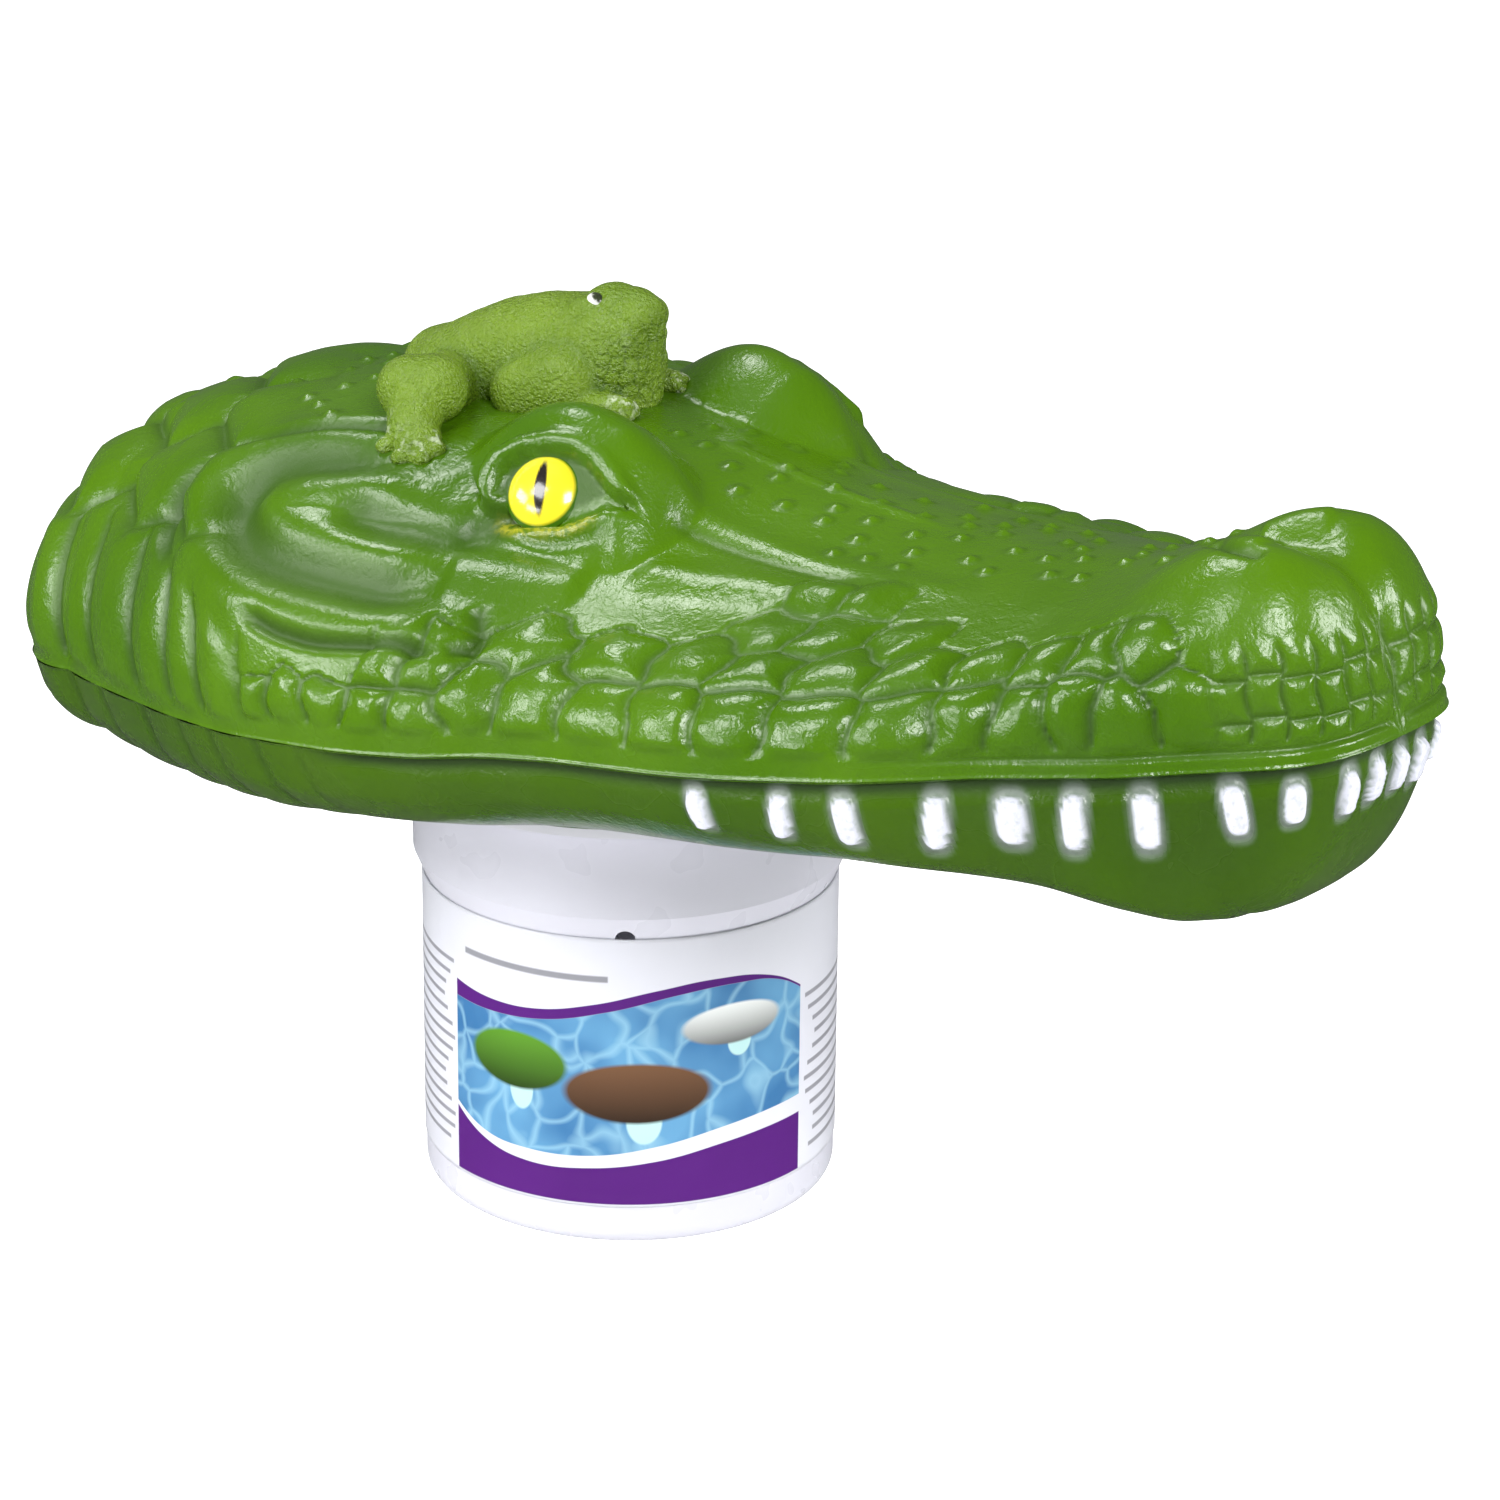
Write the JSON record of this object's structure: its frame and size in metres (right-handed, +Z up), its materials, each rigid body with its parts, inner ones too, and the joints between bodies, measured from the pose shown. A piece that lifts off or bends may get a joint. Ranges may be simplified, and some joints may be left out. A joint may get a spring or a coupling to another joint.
{
  "type": "floating chlorine dispenser",
  "caption": "Hollow reptile-head pool float with a twist-regulated cup for chlorine tablets under its throat.",
  "frame": {"origin": "centre of the flat base of the cup", "axes": "+Z up the cup's axis, +X towards the snout, +Y to the head's left"},
  "size_m": [0.3775, 0.1978, 0.2201],
  "materials": {
    "head_green": "glossy moulded plastic with soft wrinkles, sprayed lighter green on the frog, white on the teeth and yellow on the eyes",
    "frog_green": "satin sprayed paint on fine skin texture",
    "white_plastic": "semi-gloss moulded plastic",
    "label_film": "printed satin film",
    "gasket_rubber": "matt moulded rubber",
    "screw_steel": "stainless"
  },
  "bodies": {
    "float": {"upper_head_shell": "head_green", "lower_jaw_shell": "head_green", "socket_cup": "white_plastic", "socket_gasket": "gasket_rubber", "clamp_ring": "white_plastic", "socket_screws": "screw_steel", "vent_plug": "gasket_rubber"},
    "tablet_cup": {"inner_cup": "white_plastic"},
    "regulator": {"outer_cup": "white_plastic", "wrap_label": "label_film"}
  },
  "joints": [
    {"name": "cup_release", "type": "slide", "parent": "float", "child": "tablet_cup", "axis": [0, 0, -1], "range_m": [0, 0.15]},
    {"name": "flow_setting", "type": "hinge", "parent": "tablet_cup", "child": "regulator", "pos_m": [0, 0, 0], "axis": [0, 0, 1], "range_deg": [0, 30]}
  ]
}
